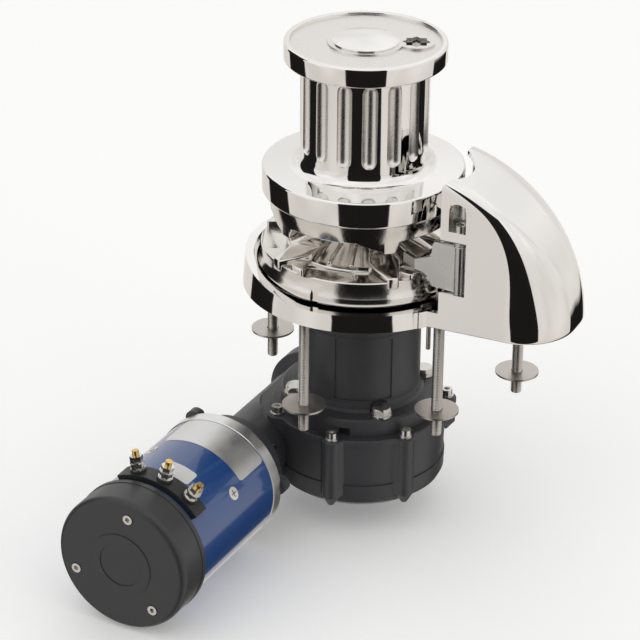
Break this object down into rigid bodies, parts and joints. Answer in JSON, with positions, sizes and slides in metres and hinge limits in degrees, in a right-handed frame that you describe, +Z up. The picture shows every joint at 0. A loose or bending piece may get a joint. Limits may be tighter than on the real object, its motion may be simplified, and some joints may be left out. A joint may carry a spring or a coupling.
{
  "type": "deck capstan",
  "caption": "Vertical deck capstan with fluted drum over a chainwheel, base with chain-pipe cover, deck studs, neck, worm gearbox and electric motor.",
  "frame": {"origin": "on the drum's axis at the deck plane, the underside of the base casting", "axes": "+Z up along the drum's axis, +X towards the chain-pipe cover, +Y away from the motor"},
  "size_m": [0.3423, 0.4065, 0.4495],
  "materials": {
    "polished_steel": "mirror-polished stainless casting",
    "wheel_steel": "polished on the edges, cast in the pockets",
    "satin_steel": "satin ground",
    "stud_steel": "satin, threaded",
    "bright_fasteners": "bright stainless",
    "black_fasteners": "black oxide",
    "black_casting": "black powder coat on a casting",
    "black_cap": "satin black",
    "black_plastic": "moulded",
    "motor_blue": "gloss blue enamel",
    "ring_silver": "turned",
    "terminal_brass": "bright brass",
    "bronze": "bronze",
    "bearing_steel": "ground steel",
    "magnet_grey": "ferrite",
    "seal_rubber": "matt"
  },
  "bodies": {
    "base": {"base_plate": "polished_steel", "arm_pivot_screw": "bright_fasteners", "arm_spring": "bright_fasteners", "chain_stripper": "wheel_steel", "stripper_screw": "stud_steel", "shaft_seal": "seal_rubber", "upper_bearing": "bearing_steel", "lower_bearing": "bearing_steel", "spacer_tube": "black_casting", "neck_bolts": "bright_fasteners", "neck_washers": "bright_fasteners", "gearbox_lid": "black_casting", "gearbox_case": "black_casting", "lid_screws": "bright_fasteners", "lid_washers": "bright_fasteners", "worm_bearings": "bearing_steel", "tunnel_cap": "black_casting", "motor_adapter": "black_casting", "adapter_screws": "black_fasteners", "ring_bolts": "black_fasteners", "motor_ring": "ring_silver", "motor_body": "motor_blue", "shell_screws": "bright_fasteners", "field_magnets": "magnet_grey", "motor_bearings": "bearing_steel", "motor_end_cap": "black_cap", "cap_screws": "bright_fasteners", "terminal_block": "black_plastic", "terminal_studs": "terminal_brass", "terminal_washers": "terminal_brass", "terminal_nuts": "terminal_brass", "deck_studs": "stud_steel", "stud_washers": "stud_steel", "stud_nuts": "stud_steel"},
    "output": {"main_shaft": "satin_steel", "worm_wheel": "bronze", "wheel_key": "satin_steel", "clutch_keys": "satin_steel", "lower_cone": "bronze", "upper_cone": "bronze", "top_nut": "satin_steel", "top_washer": "satin_steel"},
    "drum": {"capstan_drum": "polished_steel", "drum_cap": "polished_steel"},
    "chainwheel": {"chainwheel_lower": "wheel_steel", "chainwheel_upper": "wheel_steel"},
    "arm": {"control_arm": "satin_steel"},
    "rotor": {"worm_shaft": "satin_steel", "armature": "bearing_steel"}
  },
  "joints": [
    {"name": "motor_spin", "type": "hinge", "parent": "base", "child": "rotor", "pos_m": [-0.0718, 0, -0.155], "axis": [0, 1, 0], "continuous": true},
    {"name": "output_spin", "type": "hinge", "parent": "base", "child": "output", "pos_m": [0, 0, 0], "axis": [0, 0, 1], "continuous": true},
    {"name": "drum_release", "type": "hinge", "parent": "output", "child": "drum", "pos_m": [0, 0, 0], "axis": [0, 0, 1], "range_deg": [0, 90]},
    {"name": "chainwheel_spin", "type": "hinge", "parent": "output", "child": "chainwheel", "pos_m": [0, 0, 0], "axis": [0, 0, 1], "continuous": true},
    {"name": "arm_swing", "type": "hinge", "parent": "base", "child": "arm", "pos_m": [0.1175, -0.05, 0], "axis": [0, 0, 1], "range_deg": [0, 14], "stiffness_Nm_per_rad": 0.6, "springref_deg": -8.59}
  ],
  "couplings": [
    {"joint": "output_spin", "follows": "motor_spin", "ratio": 0.021739}
  ]
}
